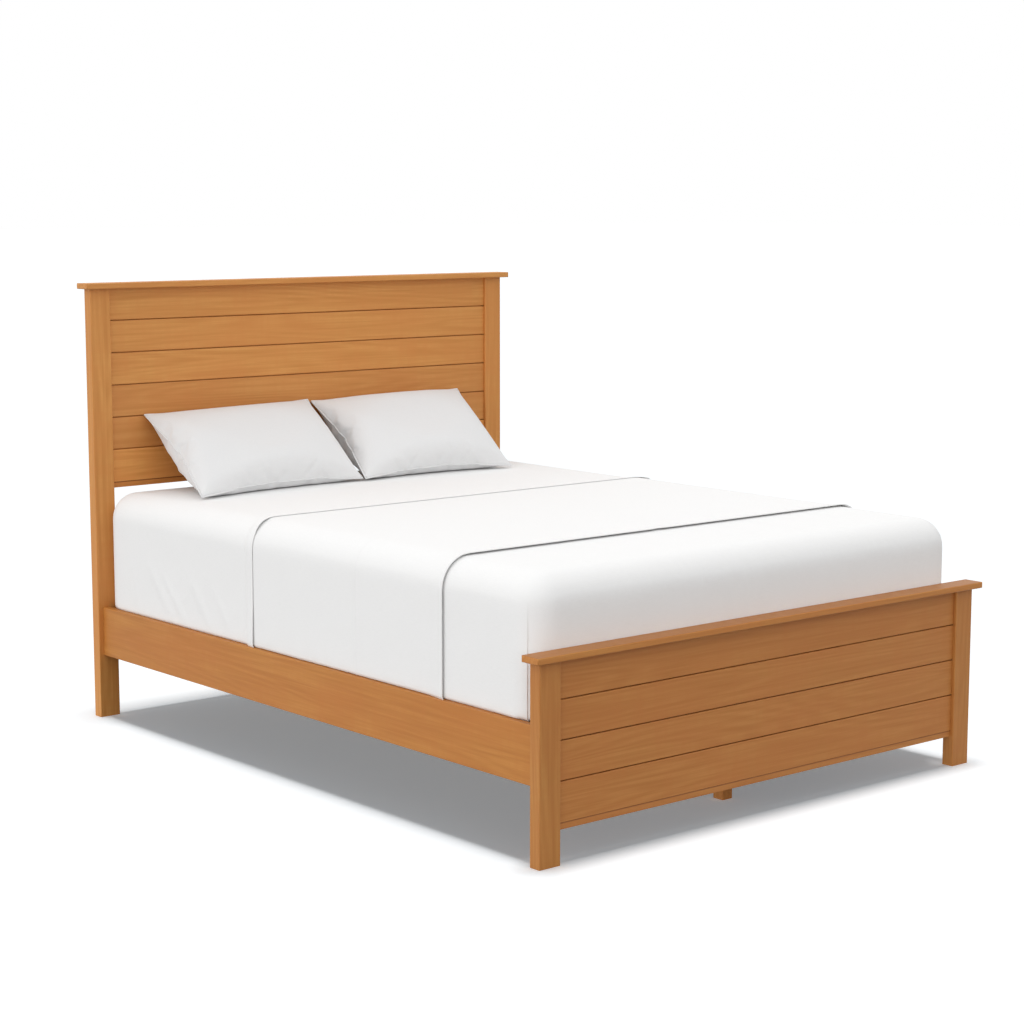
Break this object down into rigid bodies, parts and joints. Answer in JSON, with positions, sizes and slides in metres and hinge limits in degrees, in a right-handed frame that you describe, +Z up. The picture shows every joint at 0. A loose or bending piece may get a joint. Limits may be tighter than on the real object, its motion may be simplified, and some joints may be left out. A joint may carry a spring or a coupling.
{
  "type": "queen bed with planked headboard and footboard",
  "caption": "Wooden bed with shiplap headboard and low footboard, hook-on side rails, slats, mattress, layered sheets and leaning pillows",
  "frame": {"origin": "on the floor, under the middle of the bed's overall width and length", "axes": "+X across the bed to the right as seen from the foot, +Y from the foot to the head, +Z up"},
  "size_m": [1.656, 2.1484, 1.342],
  "materials": {
    "honey_wood": "satin",
    "pale_wood": "matte",
    "zinc_steel": "satin",
    "ticking": "matte",
    "sheeting": "matte",
    "cover_cloth": "matte",
    "pillow_cloth": "matte"
  },
  "bodies": {
    "frame": {"head_post_left": "honey_wood", "head_post_right": "honey_wood", "head_cap": "honey_wood", "head_plank_1": "honey_wood", "head_plank_2": "honey_wood", "head_plank_3": "honey_wood", "head_plank_4": "honey_wood", "head_plank_5": "honey_wood", "head_plank_6": "honey_wood", "foot_plank_1": "honey_wood", "foot_plank_2": "honey_wood", "foot_plank_3": "honey_wood", "foot_plank_4": "honey_wood", "head_bottom_rail": "honey_wood", "foot_post_left": "honey_wood", "foot_post_right": "honey_wood", "foot_cap": "honey_wood", "foot_bottom_rail": "honey_wood", "side_rail_left": "honey_wood", "side_rail_right": "honey_wood", "centre_leg_foot": "honey_wood", "centre_leg_middle": "honey_wood", "centre_leg_head": "honey_wood", "head_batten_left": "pale_wood", "head_batten_right": "pale_wood", "foot_batten": "pale_wood", "head_stretcher": "pale_wood", "ledger_left": "pale_wood", "ledger_right": "pale_wood", "centre_beam": "pale_wood", "cap_dowels": "pale_wood", "slat_01": "pale_wood", "slat_02": "pale_wood", "slat_03": "pale_wood", "slat_04": "pale_wood", "slat_05": "pale_wood", "slat_06": "pale_wood", "slat_07": "pale_wood", "slat_08": "pale_wood", "slat_09": "pale_wood", "slat_10": "pale_wood", "slat_11": "pale_wood", "slat_12": "pale_wood", "hook_plates": "zinc_steel", "slot_plates": "zinc_steel", "beam_hangers": "zinc_steel", "leg_bolts": "zinc_steel", "plate_screws": "zinc_steel", "slat_screws": "zinc_steel", "ledger_screws": "zinc_steel", "batten_screws": "zinc_steel"},
    "foundation": {"foundation": "ticking"},
    "mattress": {"mattress": "ticking", "bottom_sheet": "sheeting", "cover": "cover_cloth", "top_sheet": "sheeting"},
    "pillow_left": {"pillow_left": "pillow_cloth"},
    "pillow_right": {"pillow_right": "pillow_cloth"}
  },
  "joints": [
    {"name": "foundation_lift", "type": "slide", "parent": "frame", "child": "foundation", "axis": [0, 0, 1], "range_m": [0, 0.12]},
    {"name": "mattress_lift", "type": "slide", "parent": "foundation", "child": "mattress", "axis": [0, 0, 1], "range_m": [0, 0.12]},
    {"name": "pillow_left_lift", "type": "slide", "parent": "mattress", "child": "pillow_left", "axis": [0, 0, 1], "range_m": [0, 0.1]},
    {"name": "pillow_right_lift", "type": "slide", "parent": "mattress", "child": "pillow_right", "axis": [0, 0, 1], "range_m": [0, 0.1]}
  ]
}
